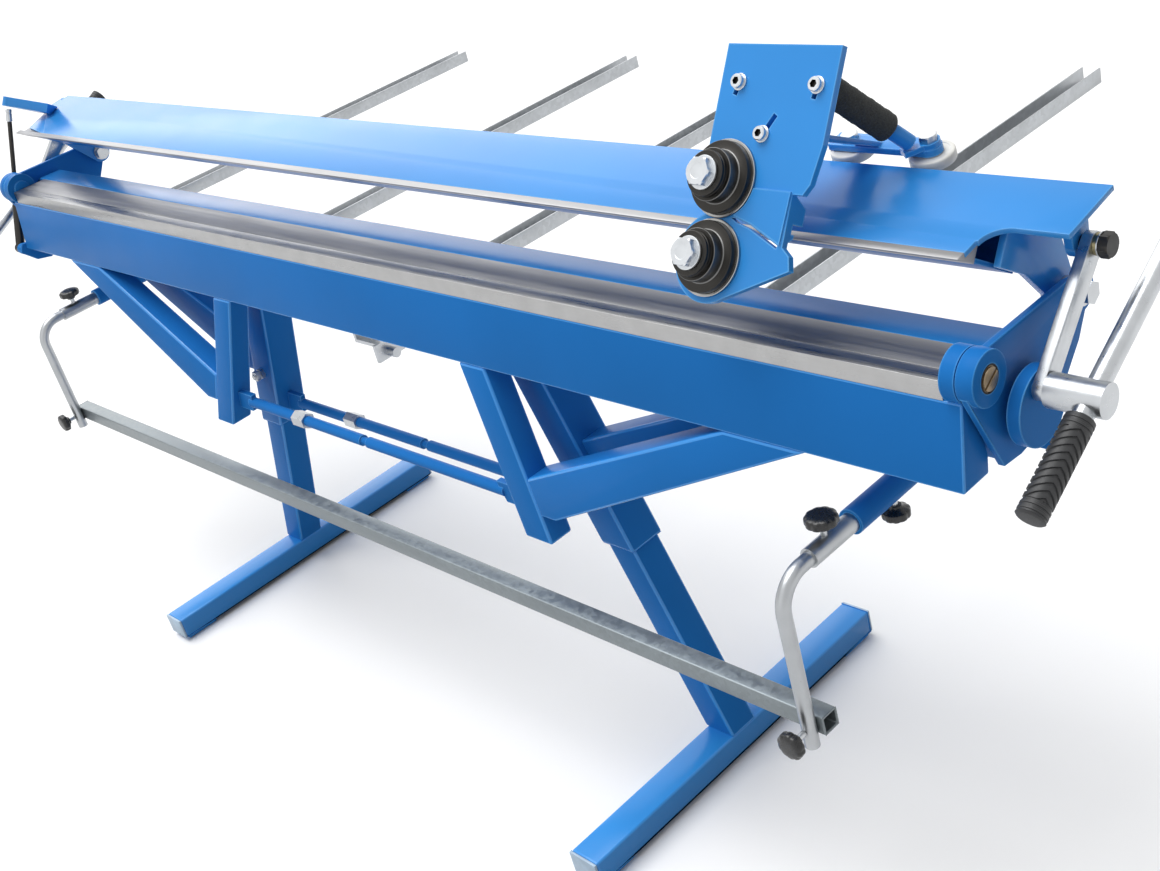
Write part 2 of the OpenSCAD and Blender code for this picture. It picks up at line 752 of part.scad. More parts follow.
module knob(r) {
  cylinder(h = 16, r = 4, $fn = 32);
  translate([0, 0, 12]) cylinder(h = 6, r1 = 8, r2 = r * 0.8, $fn = 48);
  translate([0, 0, 18]) cylinder(h = 9, r = r, $fn = 48);
  translate([0, 0, 27]) cylinder(h = 3, r1 = r, r2 = r * 0.7, $fn = 48);
}
module right_socket_knob() {
  color(black) translate([stop_x, socket_knob_y, stop_z - tube_r - 0.3]) rotate([180, 0, 0]) knob(16);
}
module left_socket_knob() {
  color(black) mirror([1, 0, 0]) translate([stop_x, socket_knob_y, stop_z - tube_r - 0.3])
    rotate([180, 0, 0]) knob(16);
}
module right_arm_knob() {
  color(black) translate([stop_x, arm_knob_y, stop_z + arm_r + 0.3]) knob(18);
}
module left_arm_knob() {
  color(black) mirror([1, 0, 0]) translate([stop_x, arm_knob_y, stop_z + arm_r + 0.3]) knob(18);
}
module right_bar_knob() {
  color(black) translate([stop_x, arm_y - arm_r - 0.3, stop_bar_z]) rotate([90, 0, 0]) knob(16);
}
module left_bar_knob() {
  color(black) mirror([1, 0, 0]) translate([stop_x, arm_y - arm_r - 0.3, stop_bar_z])
    rotate([90, 0, 0]) knob(16);
}

// slitter carriage

plate8 = 8;
slot_bolts = [[-5, 150], [97, 150], [38.5, 98]];
slot_turns = [198, 190, 31];
slot_runs = [14, 14, 24];
module at_slitter(y) {
  on_beam() translate([slit_x, slit_y - plate8 + y, 0]) children();
}
// jaw below the cut: round the lower knife, with its lower edge running to the corner
jaw_r = 48;
jaw_tip = [107, -1.7];
jaw_a = atan2(jaw_tip[1], jaw_tip[0]) - acos((jaw_r - 0.4) / norm(jaw_tip));
module slitter_outline() {
  polygon([[-31, 190], [-31, cut_z + 38], [-20, cut_z + 4], [24, cut_z + 2.5], [47, cut_z - 3],
    [86, cut_z - 19.5], [85, cut_z - 23], [46, cut_z - 6.5], [24, cut_z - 1], [-20, cut_z - 1],
    [-43, knife_dn + 20], [0, knife_dn], [(jaw_r - 0.4) * cos(jaw_a), knife_dn + (jaw_r - 0.4) * sin(jaw_a)],
    [jaw_tip[0], knife_dn + jaw_tip[1]], [103, knife_dn + 13], [92.5, cut_z - 21], [92.5, cut_z + 33],
    [105, cut_z + 33], [112, cut_z + 44], [118, cut_z + 84], [118, 190]]);
  translate([0, knife_dn]) circle(r = jaw_r, $fn = 72);
}
// raised panel beside the knives that leads the cut edge down
module web_outline() {
  difference() {
    polygon([[20, cut_z + 35], [91.5, cut_z + 35], [89.5, cut_z - 19], [48, cut_z - 1.5], [22, cut_z + 5]]);
    for (z = [knife_up, knife_dn]) translate([0, z]) circle(r = knife_r + 1.2, $fn = 96);
  }
}
module slitter_plate() {
  flange_t = 6;
  color(blue) at_slitter(0) difference() {
    union() {
      translate([0, plate8, 0]) rotate([90, 0, 0]) linear_extrude(plate8) slitter_outline();
      translate([0, 1, 0]) rotate([90, 0, 0]) linear_extrude(3.5) web_outline();
      translate([92.5 - flange_t, 0, 0]) rotate([90, 0, 90]) linear_extrude(flange_t)
        polygon([[1, cut_z - 20], [plate8 + 7, cut_z - 10], [plate8 + 7, cut_z - 6], [plate8 + 2, cut_z - 6],
          [plate8 + 2, cut_z + 4], [plate8 + 18, cut_z + 4], [plate8 + 18, cut_z + 22], [plate8, cut_z + 32],
          [1, cut_z + 32]]);
    }
    for (i = [0:2]) translate([slot_bolts[i][0], -1, slot_bolts[i][1]]) {
      rotate([-90, 0, 0]) cylinder(h = 10, r = 4.5, $fn = 32);
      rotate([0, slot_turns[i], 0]) translate([-3, 0, 0]) cube([6, 10, slot_runs[i]]);
    }
    for (z = [knife_up, knife_dn]) translate([0, -1, z]) rotate([-90, 0, 0])
      cylinder(h = 10, r = 8, $fn = 48);
  }
}
module slitter_bolts() {
  color(zinc) {
    for (z = [knife_up, knife_dn]) at_slitter(plate8) translate([0, 0, z]) rotate([90, 0, 0]) {
      cylinder(h = 51, r = 8, $fn = 48);
      translate([0, 0, 42]) cylinder(h = 3, r = 15, $fn = 48);
      translate([0, 0, 45]) cylinder(h = 9, r = 13.8, $fn = 6);
    }
    for (p = slot_bolts) at_slitter(2 * plate8) translate([p[0], 0, p[1]]) rotate([90, 0, 0]) {
      cylinder(h = 2 * plate8 + 6, r = 4.5, $fn = 32);
      translate([0, 0, 2 * plate8]) cylinder(h = 2, r = 9, $fn = 32);
      translate([0, 0, 2 * plate8 + 2]) cylinder(h = 6, r = 7.5, $fn = 32);
    }
    for (i = [0, 1]) on_plate(roller_u, roller_xs[i]) {
      translate([0, 0, roller_low - 3]) cylinder(h = bar_top + tab_t * i + 5 - roller_low, r = 7, $fn = 48);
      translate([0, 0, roller_low - 4.3]) cylinder(h = 4, r = 11, $fn = 48);
      translate([0, 0, bar_top + tab_t * i]) cylinder(h = 7, r = 10.5, $fn = 6);
    }
  }
}
module knife(z) {
  at_slitter(-0.5) translate([0, 0, z]) rotate([90, 0, 0]) difference() {
    union() {
      cylinder(h = 3, r = knife_r, $fn = 96);
      translate([0, 0, 3]) cylinder(h = 8, r = knife_r - 3, $fn = 96);
      translate([0, 0, 11]) cylinder(h = 14, r = 28, $fn = 72);
      translate([0, 0, 25]) cylinder(h = 8.2, r = 24, $fn = 72);
    }
    translate([0, 0, -1]) cylinder(h = 60, r = 8 + run_c, $fn = 48);
  }
}
module upper_knife() {
  color(black) knife(knife_up);
}
module lower_knife() {
  color(black) knife(knife_dn);
}
module on_plate(u, x) {
  on_beam() on_flat(u, x) children();
}
roller_u = beam_w + roller_r + 0.4;
roller_low = -7.5;
roller_top = 4;
bar_low = roller_top + 0.3;
bar_top = bar_low + 8;
tab_t = 6;
roller_xs = [slit_x + 30, slit_x + 134];
module guide_bar() {
  color(blue) difference() {
    union() {
      on_plate(roller_u, slit_x + 8) translate([0, -13, bar_low]) cube([roller_xs[1] - slit_x - 8, 26, 8]);
      on_plate(roller_u, roller_xs[1]) translate([0, 0, bar_low]) cylinder(h = 8, r = 13, $fn = 60);
      on_beam() yz(slit_x + 44, slit_x + 76)
        polygon([[slit_y + 4, 97], pl(roller_u, -bar_low - 1), pl(roller_u, 1 - bar_top), [slit_y + 4, 106]]);
      at_slitter(plate8) translate([-24, 0, 92]) cube([136, plate8, 92]);
    }
    for (p = slot_bolts) at_slitter(plate8 - 1) translate([p[0], 0, p[1]]) rotate([-90, 0, 0])
      cylinder(h = 12, r = 4.5, $fn = 32);
    for (x = roller_xs) on_plate(roller_u, x) cylinder(h = 40, r = 7, $fn = 48);
  }
}
module guide_roller(x) {
  on_plate(roller_u, x) difference() {
    translate([0, 0, roller_low]) cylinder(h = roller_top - roller_low, r = roller_r, $fn = 72);
    translate([0, 0, roller_low - 1]) cylinder(h = 40, r = 7 + run_c, $fn = 48);
  }
}
module guide_roller_a() {
  color(white) guide_roller(roller_xs[0]);
}
module guide_roller_b() {
  color(white) guide_roller(roller_xs[1]);
}
// push handle, from the right roller bolt forward over the beam
handle_len = 118;
handle_turn = -36.5;
handle_r = 9;
handle_tilt = 35;
module at_handle() {
  on_plate(roller_u, roller_xs[1]) rotate([0, 0, handle_turn])
    translate([0, -20, bar_top + 0.1 + tab_t + handle_r * sin(handle_tilt)])
      rotate([handle_tilt, 0, 0]) children();
}
module slitter_handle() {
  color(blue) {
    on_plate(roller_u, roller_xs[1]) rotate([0, 0, handle_turn]) translate([0, 0, bar_top])
      linear_extrude(tab_t) difference() {
        union() {
          circle(r = 12, $fn = 48);
          translate([-8, -30]) square([16, 30]);
        }
        circle(r = 7, $fn = 48);
      }
    at_handle() cylinder(h = handle_len, r = handle_r, $fn = 48);
  }
}
module slitter_grip() {
  color(black) at_handle() difference() {
    translate([0, 0, 30]) cylinder(h = handle_len - 32, r = 16, $fn = 60);
    translate([0, 0, 28]) cylinder(h = handle_len, r = handle_r, $fn = 48);
  }
}

bed_beam();
bed_strip();
left_side_plate();
right_side_plate();
hinge_pins();
pivot_bolts();
stop_screws();
leg_sleeves();
bed_braces();
bed_tie_rod();
bed_tie_nut();
legs();
feet();
foot_caps();
leg_bolts();
stop_sockets();
rear_rails();
latch_bracket();
leaf_beam();
leaf_strip();
leaf_posts();
leaf_braces();
leaf_tie_rod();
leaf_tie_nut();
beam_plate();
beam_stiffener();
nose_strip();
beam_brackets();
link_tab();
strut_arm();
left_crank();
right_crank();
left_hub();
right_hub();
left_bar();
right_bar();
left_grips();
right_grips();
left_link();
right_link();
strut_cylinder();
strut_rod();
stop_tubes();
stop_arms();
stop_bar();
left_socket_knob();
right_socket_knob();
left_arm_knob();
right_arm_knob();
left_bar_knob();
right_bar_knob();
slitter_plate();
slitter_bolts();
upper_knife();
lower_knife();
guide_bar();
guide_roller_a();
guide_roller_b();
slitter_handle();
slitter_grip();
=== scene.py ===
"""Dresses the folding brake: softened steelwork, turned fittings, materials, light and camera."""
import json
import math

import bmesh
import bpy
from mathutils import Matrix, Vector


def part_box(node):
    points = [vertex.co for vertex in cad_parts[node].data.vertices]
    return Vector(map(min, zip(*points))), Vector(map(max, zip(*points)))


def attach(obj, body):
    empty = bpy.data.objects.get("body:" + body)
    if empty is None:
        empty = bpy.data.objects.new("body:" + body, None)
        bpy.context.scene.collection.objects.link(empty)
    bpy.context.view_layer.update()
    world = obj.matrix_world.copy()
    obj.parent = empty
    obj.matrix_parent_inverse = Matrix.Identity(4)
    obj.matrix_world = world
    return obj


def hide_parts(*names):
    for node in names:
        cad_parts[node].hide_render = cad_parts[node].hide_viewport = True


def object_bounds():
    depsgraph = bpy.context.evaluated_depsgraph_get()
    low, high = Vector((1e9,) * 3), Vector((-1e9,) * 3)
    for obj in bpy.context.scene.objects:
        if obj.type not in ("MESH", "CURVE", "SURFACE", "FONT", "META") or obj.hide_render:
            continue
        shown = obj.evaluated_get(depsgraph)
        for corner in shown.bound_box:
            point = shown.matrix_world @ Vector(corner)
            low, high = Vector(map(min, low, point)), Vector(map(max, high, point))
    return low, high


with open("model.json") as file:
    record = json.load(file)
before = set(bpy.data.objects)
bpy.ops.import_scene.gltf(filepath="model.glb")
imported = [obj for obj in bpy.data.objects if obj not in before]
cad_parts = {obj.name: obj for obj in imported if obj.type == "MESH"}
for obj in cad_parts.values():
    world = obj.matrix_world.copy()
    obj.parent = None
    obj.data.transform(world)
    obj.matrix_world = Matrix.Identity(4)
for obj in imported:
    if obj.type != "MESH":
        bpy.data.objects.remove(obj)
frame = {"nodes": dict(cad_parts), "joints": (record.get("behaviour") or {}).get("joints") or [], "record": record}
CAD_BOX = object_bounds()
NODES = frame["nodes"]
JOINTS = {joint["name"]: joint for joint in frame["joints"]}
BODY_OF = {node: body for body, nodes in frame["record"]["behaviour"]["bodies"].items() for node in nodes}
SLOT_OF = {row["node"]: row["material_slot"] for row in frame["record"]["subparts"]}

# colours, linear
BLUE = (0.0160, 0.174, 0.530)
# pale blue mixed in along edges: a painted highlight colour
BLUE_EDGE_HIGHLIGHT = (0.150, 0.480, 0.880)
# a lighter copy of BLUE: painted light for parts that face up to the light
LIT_BLUE = (0.0300, 0.258, 0.680)
ZINC = (0.55, 0.57, 0.59)
GALVANISED = (0.225, 0.255, 0.270)
RAIL = (0.44, 0.46, 0.48)
STEEL = (0.43, 0.43, 0.43)
BED_STEEL = (0.35, 0.35, 0.355)
DARK_STEEL = (0.050, 0.048, 0.045)
BLUED_STEEL = (0.17, 0.17, 0.168)
RIM = (0.46, 0.46, 0.45)
BRASS = (0.34, 0.26, 0.17)
OLIVE_BRASS = (0.30, 0.26, 0.15)
BLACK = (0.024, 0.025, 0.027)
FOAM = (0.020, 0.021, 0.020)
WHITE = (0.70, 0.69, 0.65)
PALE_CAP = (0.42, 0.55, 0.68)


# materials

class Shader:
    """A material's node tree with short calls for the nodes used here."""

    def __init__(self, name):
        self.material = bpy.data.materials.new(name)
        self.material.use_nodes = True
        self.tree = self.material.node_tree
        self.bsdf = self.tree.nodes["Principled BSDF"]

    def node(self, kind, **values):
        made = self.tree.nodes.new(kind)
        for key, value in values.items():
            if key in made.inputs:
                made.inputs[key].default_value = value
            else:
                setattr(made, key, value)
        return made

    def link(self, source, target):
        self.tree.links.new(source, target)

    def coords(self, scale=(1, 1, 1)):
        """Object coordinates in metres, stretched by scale."""
        place = self.node("ShaderNodeTexCoord")
        mapping = self.node("ShaderNodeMapping")
        mapping.inputs["Scale"].default_value = scale
        self.link(place.outputs["Object"], mapping.inputs["Vector"])
        return mapping.outputs["Vector"]

    def noise(self, size, detail=3.0, scale=(1, 1, 1), rough=0.5):
        """Noise whose features are about size metres across."""
        texture = self.node("ShaderNodeTexNoise", Scale=1.0 / size, Detail=detail, Roughness=rough)
        self.link(self.coords(scale), texture.inputs["Vector"])
        return texture.outputs["Fac"]

    def cells(self, size):
        """Cell pattern about size metres across, 0 to 1 by cell."""
        texture = self.node("ShaderNodeTexVoronoi", Scale=1.0 / size)
        self.link(self.coords(), texture.inputs["Vector"])
        split = self.node("ShaderNodeSeparateColor")
        self.link(texture.outputs["Color"], split.inputs["Color"])
        return split.outputs[0]

    def ramp(self, value, low, high, start, end):
        """Maps value from low..high to start..end, clamped."""
        made = self.node("ShaderNodeMapRange")
        for key, number in zip(("From Min", "From Max", "To Min", "To Max"), (low, high, start, end)):
            made.inputs[key].default_value = number
        self.link(value, made.inputs["Value"])
        return made.outputs["Result"]

    def mix(self, fac, first, second):
        """Colour mix; first and second are colours or sockets."""
        made = self.node("ShaderNodeMix", data_type="RGBA")
        self.link(fac, made.inputs["Factor"])
        for slot, value in ((6, first), (7, second)):
            if isinstance(value, tuple):
                made.inputs[slot].default_value = (*value, 1.0)
            else:
                self.link(value, made.inputs[slot])
        return made.outputs[2]

    def math(self, operation, first, second):
        """Sum, product or the like of two numbers or sockets."""
        made = self.node("ShaderNodeMath", operation=operation)
        for index, value in enumerate((first, second)):
            if isinstance(value, (int, float)):
                made.inputs[index].default_value = value
            else:
                self.link(value, made.inputs[index])
        return made.outputs[0]

    def edges(self, radius):
        """1 on edges, 0 on flats, from the angle between the bevelled and the plain normal."""
        bevel = self.node("ShaderNodeBevel", samples=6, Radius=radius)
        geometry = self.node("ShaderNodeNewGeometry")
        dot = self.node("ShaderNodeVectorMath", operation="DOT_PRODUCT")
        self.link(bevel.outputs["Normal"], dot.inputs[0])
        self.link(geometry.outputs["Normal"], dot.inputs[1])
        return self.ramp(dot.outputs["Value"], 0.995, 0.90, 0.0, 1.0)

    def bump(self, height, distance, strength):
        """Bump of that height in metres, for detail finer than the mesh."""
        made = self.node("ShaderNodeBump", Distance=distance, Strength=strength)
        self.link(height, made.inputs["Height"])
        self.link(made.outputs["Normal"], self.bsdf.inputs["Normal"])

    def set(self, **values):
        for key, value in values.items():
            self.bsdf.inputs[key.replace("_", " ")].default_value = value

    def colour(self, socket):
        self.link(socket, self.bsdf.inputs["Base Color"])

    def roughness(self, socket):
        self.link(socket, self.bsdf.inputs["Roughness"])


def tint(colour, level):
    """The colour, lighter or darker."""
    return tuple(min(1.0, level * channel) for channel in colour)


def paint(name, colour, pale, rough, shine, peel):
    """Enamel over steel: slow colour drift, thin pale edges (a painted highlight on the corners, with a little rubbed
    wear), orange peel; pale is the colour of that painted highlight, shine is the specular level.
    """
    s = Shader(name)
    drift = s.ramp(s.noise(0.30, 4.0), 0.35, 0.65, 0.0, 1.0)
    body = s.mix(drift, tint(colour, 0.95), tint(colour, 1.06))
    # pale along edges, varied by noise: a painted highlight for light on rounded corners, with a little wear
    edge_wear_and_highlight = s.math("MULTIPLY", s.edges(0.0030), s.ramp(s.noise(0.06, 5.0), 0.40, 0.66, 0.45, 0.95))
    s.colour(s.mix(edge_wear_and_highlight, body, pale))
    s.roughness(s.ramp(s.noise(0.08, 5.0), 0.3, 0.7, rough - 0.02, rough + 0.03))
    s.set(Specular_IOR_Level=shine)
    s.bump(s.noise(0.006, 2.0), peel, 0.25)
    return s.material


def metal(name, colour, rough, grain=(1, 1, 1), grain_size=0.012, spots=0.03):
    """Bare or plated metal: tone clouded by spots, and fine grain that is stretched by grain."""
    s = Shader(name)
    cloud = s.ramp(s.noise(spots, 4.0), 0.30, 0.70, 0.0, 1.0)
    streak = s.noise(grain_size, 4.0, grain)
    tone = s.math("MULTIPLY", s.math("ADD", cloud, streak), 0.5)
    s.colour(s.mix(tone, tint(colour, 0.80), colour))
    s.roughness(s.ramp(streak, 0.25, 0.75, rough - 0.06, rough + 0.10))
    s.set(Metallic=1.0)
    s.bump(streak, 0.00004, 0.5)
    return s.material


def galvanised(name, colour, rough=0.36, sheen=1.0):
    """Zinc coat: faint spangle cells, drawing lines along x, grey handling marks; sheen is its metal share."""
    s = Shader(name)
    spangle = s.cells(0.006)
    marks = s.ramp(s.noise(0.05, 6.0, (0.25, 1, 1)), 0.42, 0.66, 0.0, 1.0)
    flecks = s.mix(spangle, tint(colour, 0.88), tint(colour, 1.08))
    s.colour(s.mix(s.math("MULTIPLY", marks, 0.30), flecks, tint(colour, 0.66)))
    s.roughness(s.ramp(spangle, 0.0, 1.0, rough - 0.06, rough + 0.08))
    s.set(Metallic=sheen)
    s.bump(s.noise(0.003, 3.0, (0.1, 1, 1)), 0.00004, 0.4)
    return s.material


def plastic(name, colour, rough):
    """Moulded plastic or rubber: fine spark-eroded grain and slow tone drift."""
    fleck = 0.0016
    s = Shader(name)
    drift = s.ramp(s.noise(0.03, 3.0), 0.3, 0.7, 0.0, 1.0)
    s.colour(s.mix(drift, tint(colour, 0.84), tint(colour, 1.16)))
    s.roughness(s.ramp(s.noise(fleck, 2.0), 0.3, 0.7, rough - 0.05, rough + 0.08))
    s.bump(s.noise(fleck, 2.0), 0.00006, 0.7)
    return s.material


def foam(name, colour):
    """Foam sleeve: open pores and dusty wear."""
    s = Shader(name)
    pores = s.noise(0.0022, 6.0, rough=0.7)
    s.colour(s.mix(s.ramp(pores, 0.35, 0.65, 0.0, 1.0), tint(colour, 0.35), tint(colour, 2.4)))
    s.roughness(s.ramp(pores, 0.3, 0.7, 0.75, 0.95))
    s.bump(pores, 0.0010, 0.9)
    return s.material


ALONG_X = (0.03, 1, 1)
PAINT = paint("blue_satin", BLUE, BLUE_EDGE_HIGHLIGHT, 0.34, 0.04, 0.00012)
# paler, shinier paint for rounded corners: its paler colour is a painted highlight
CORNER_HIGHLIGHT_PAINT = paint("blue_corner_highlight", tint(LIT_BLUE, 1.10), BLUE_EDGE_HIGHLIGHT, 0.24, 0.45, 0.00002)
# glossier copy of the paint, also lighter in colour: the lighter colour is painted light on up-facing parts
LIT_GLOSS = paint("blue_gloss_lit", LIT_BLUE, BLUE_EDGE_HIGHLIGHT, 0.24, 0.30, 0.00002)
PLATED = metal("zinc_plate", ZINC, 0.30)
ARM_ZINC = metal("zinc_arm", tint(ZINC, 0.80), 0.32)
BAR_ZINC = galvanised("galvanised_bar", GALVANISED, 0.40, 0.75)
RAIL_ZINC = galvanised("galvanised_rail", RAIL)
GROUND = metal("ground_steel", STEEL, 0.30, ALONG_X, 0.003)
BED = metal("bed_steel", BED_STEEL, 0.40, ALONG_X, 0.006, 0.12)
TURNED = metal("turned_brass", BRASS, 0.34)
BUSH = metal("olive_brass", OLIVE_BRASS, 0.34)
RUBBER = plastic("black_rubber", BLACK, 0.48)
KNOB = plastic("black_knob", tint(BLACK, 0.35), 0.28)
BLACK_METAL = metal("black_steel", DARK_STEEL, 0.36)
RIM_STEEL = metal("rim_steel", RIM, 0.30)
HUB_STEEL = metal("hub_steel", BLUED_STEEL, 0.36)
BRIGHT = metal("bright_zinc", tint(ZINC, 1.28), 0.34)
ROLLER = plastic("white_nylon", WHITE, 0.42)
CAP = plastic("pale_cap", PALE_CAP, 0.40)
SPONGE = foam("foam_sleeve", FOAM)
SLOT_MATERIAL = {
    "blue_paint": PAINT, "zinc": PLATED, "bare_steel": GROUND, "brass": TURNED, "black_rubber": RUBBER,
    "black_plastic": KNOB, "black_metal": BLACK_METAL, "knife_steel": BLACK_METAL,
    "white_plastic": ROLLER, "pale_plastic": CAP,
}
NODE_MATERIAL = {"bed_strip": BED, "nose_strip": BED, "slitter_grip": SPONGE, "stop_bar": BAR_ZINC,
                 "stop_arms": ARM_ZINC, "stop_tubes": ARM_ZINC, "rear_rails": RAIL_ZINC}
# beam, bed, slitter, brackets and feet take the lighter, glossier copy: painted light on parts facing up to the light
NODE_MATERIAL.update({name: LIT_GLOSS for name in ("bed_beam", "beam_brackets", "link_tab", "strut_arm", "slitter_plate",
                                               "guide_bar", "slitter_handle", "feet")})
for name, node in NODES.items():
    node.data.materials.clear()
    node.data.materials.append(NODE_MATERIAL.get(name, SLOT_MATERIAL[SLOT_OF[name]]))


# making of pieces

SHARP_TURN = math.radians(30.0)
FLAT_TURN = math.radians(0.4)
WELD_DISTANCE = 1e-5
NO_LENGTH = 2e-6
PAINTED_CORNER = 0.002
BOLT_CREASE = 24.0
FINE_CREASE = 30.0
PLAIN_CREASE = 38.0
FOAM_CREASE = 60.0


def shown(name, made, materials, turn=None, crease=PLAIN_CREASE):
    """Turns a bmesh into an object, smooth but for edges sharper than crease degrees."""
    mesh = bpy.data.meshes.new(name)
    made.to_mesh(mesh)
    made.free()
    if "custom_normal" in mesh.attributes:
        mesh.attributes.remove(mesh.attributes["custom_normal"])
    mesh.polygons.foreach_set("use_smooth", [True] * len(mesh.polygons))
    mesh.set_sharp_from_angle(angle=math.radians(crease))
    for material in materials:
        mesh.materials.append(material)
    piece = bpy.data.objects.new(name, mesh)
    bpy.context.scene.collection.objects.link(piece)
    if turn:
        piece.matrix_world = turn
    return piece


def stand_for(pieces, node):
    """Shows pieces in place of a CAD node, on its body."""
    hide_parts(node)
    for piece in pieces:
        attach(piece, BODY_OF[node])


def round_edges(made, width, segments, shortest=0.0, material=-1):
    """Rounds the sharp edges that are longer than shortest; material is the slot of the rounded faces."""
    edges = [edge for edge in made.edges if edge.is_manifold and edge.calc_length() > shortest
             and edge.calc_face_angle() > SHARP_TURN]
    bmesh.ops.bevel(made, geom=edges, offset=width, offset_type="OFFSET", segments=segments, profile=0.5,
                    affect="EDGES", clamp_overlap=False, material=material)


def soften(node, width, segments, shortest):
    """Shows a CAD node with its edges rounded; wide painted corners take a shinier, paler paint, whose paler colour
    is a painted highlight.
    """
    made = bmesh.new()
    made.from_mesh(NODES[node].data)
    bmesh.ops.remove_doubles(made, verts=made.verts, dist=WELD_DISTANCE)
    bmesh.ops.dissolve_limit(made, angle_limit=FLAT_TURN, verts=made.verts, edges=made.edges)
    finish = [NODES[node].data.materials[0]]
    # wide rounded corners take the paler paint, a painted highlight
    if SLOT_OF[node] == "blue_paint" and width > PAINTED_CORNER:
        finish.append(CORNER_HIGHLIGHT_PAINT)
    round_edges(made, width, segments, shortest, len(finish) - 1)
    bmesh.ops.dissolve_degenerate(made, dist=NO_LENGTH, edges=made.edges)
    stand_for([shown(node + "_soft", made, finish)], node)


def slab(name, outline, thickness, turn, material, width, holes=()):
    """A plate cut to outline, with holes, from z = 0 down by thickness, with rounded edges."""
    made = bmesh.new()
    for loop in (outline, *holes):
        points = [made.verts.new((x, y, 0.0)) for x, y in loop]
        for first, second in zip(points, points[1:] + points[:1]):
            made.edges.new((first, second))
    bmesh.ops.triangle_fill(made, use_beauty=True, edges=made.edges)
    bmesh.ops.recalc_face_normals(made, faces=made.faces)
    if made.faces[:][0].normal.z < 0:
        bmesh.ops.reverse_faces(made, faces=made.faces)
    lower = bmesh.ops.extrude_face_region(made, geom=made.faces[:])
    below = [item for item in lower["geom"] if isinstance(item, bmesh.types.BMVert)]
    bmesh.ops.translate(made, verts=below, vec=(0.0, 0.0, -thickness))
    bmesh.ops.recalc_face_normals(made, faces=made.faces)
    if not holes:
        bmesh.ops.dissolve_limit(made, angle_limit=FLAT_TURN, verts=made.verts, edges=made.edges)
    round_edges(made, width, 2)
    return shown(name, made, [material], turn)


def lathe(name, place, axis, profile, materials, turns=96, reach=None, crease=PLAIN_CREASE):
    """A closed turned body. profile is (distance along axis, radius, material index) from end to end, in metres;
    reach(distance, radius, angle) may change the radius."""
    made = bmesh.new()
    rings = []
    for along, radius, _ in profile:
        ring = []
        for index in range(turns):
            angle = 2 * math.pi * index / turns
            out = reach(along, radius, angle) if reach else radius
            ring.append(made.verts.new((out * math.cos(angle), out * math.sin(angle), along)))
        rings.append(ring)
    for lower, upper, (_, _, material) in zip(rings, rings[1:], profile[1:]):
        for index in range(turns):
            after = (index + 1) % turns
            face = made.faces.new((lower[index], lower[after], upper[after], upper[index]))
            face.material_index = material
    made.faces.new(list(reversed(rings[0]))).material_index = profile[0][2]
    made.faces.new(rings[-1]).material_index = profile[-1][2]
    turn = Vector(axis).to_track_quat("Z", "X").to_matrix().to_4x4()
    return shown(name, made, materials, Matrix.Translation(place) @ turn, crease)


def hexagon(radius, angle):
    """Reach of a hexagon with that corner radius."""
    return radius * math.cos(math.pi / 6) / math.cos((angle + math.pi / 6) % (math.pi / 3) - math.pi / 6)


def six_sided(start, end, corner):
    """Makes the stretch from start to end six-sided, with that corner radius; a smaller radius in the profile
    chamfers its corners."""
    def reach(along, radius, angle):
        return min(radius, hexagon(corner, angle)) if start - 1e-6 <= along <= end + 1e-6 else radius
    return reach


def spread(first, last, count):
    """Even steps from first to last."""
    return [first + (last - first) * index / (count - 1) for index in range(count)]


def arc(centre, radius, start, end, count):
    """Points of an arc in the plane, angles in degrees."""
    return [(centre[0] + radius * math.cos(math.radians(a)), centre[1] + radius * math.sin(math.radians(a)))
            for a in spread(start, end, count)]


def middle(node):
    """Middle of a CAD node's box."""
    low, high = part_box(node)
    return (Vector(low) + Vector(high)) / 2


# rounded steelwork: edge radius, segments and shortest edge that is rounded, for each kind of stock
TUBE = (0.0035, 3, 0.012)
FOLDED_BOX = (0.0022, 3, 0.012)
SQUARE_BAR = (0.0020, 3, 0.012)
CUT_PLATE = (0.0009, 2, 0.0022)
STRIP = (0.0005, 2, 0.004)
TURNED_BLOCK = (0.0010, 2, 0.0016)
for name in ("legs", "leg_sleeves", "bed_braces", "leaf_posts", "leaf_braces", "feet"):
    soften(name, *TUBE)
for name in ("bed_beam", "leaf_beam"):
    soften(name, *FOLDED_BOX)
soften("stop_bar", *SQUARE_BAR)
for name in ("left_side_plate", "right_side_plate", "beam_brackets", "link_tab", "strut_arm",
             "left_crank", "right_crank", "guide_bar", "foot_caps"):
    soften(name, *CUT_PLATE)
for name in ("leaf_strip", "bed_strip", "nose_strip", "rear_rails", "beam_stiffener"):
    soften(name, *STRIP)

# clamp beam, with its own plane: x along the beam, y up the plate, z out of its upper face
BEAM_OPEN = math.radians(33.6)
BEAM_SLOPE = math.radians(43.0)
BEAM = Matrix.Translation(JOINTS["beam_hinge"]["pos_m"]) @ Matrix.Rotation(-BEAM_OPEN, 4, "X")
NOSE_PLACE = (0.0, -0.1858, 0.001)
FLAT = BEAM @ Matrix.Translation(NOSE_PLACE) @ Matrix.Rotation(BEAM_SLOPE, 4, "X")
HALF = 1.100
BEAM_RIGHT = 1.163
BEAM_WIDE = 0.142
BEAM_THICK = 0.006
NOSE = 0.012
CORNER = (0.127, 0.078)
NOTCH_X, NOTCH_U, NOTCH_R = 1.0795, 0.058, 0.026
NOTCH_ARC, NOTCH_TOP = NOTCH_X + 0.0285, NOTCH_X + 0.0270
SHEET_ROUND = 0.0008
outline = [(-HALF, NOSE + CORNER[1]), (-HALF + CORNER[0], NOSE), (NOTCH_X, NOSE), (NOTCH_X, NOTCH_U - NOTCH_R)]
outline += arc((NOTCH_ARC, NOTCH_U - NOTCH_R), NOTCH_R, 180.0, 94.0, 14)
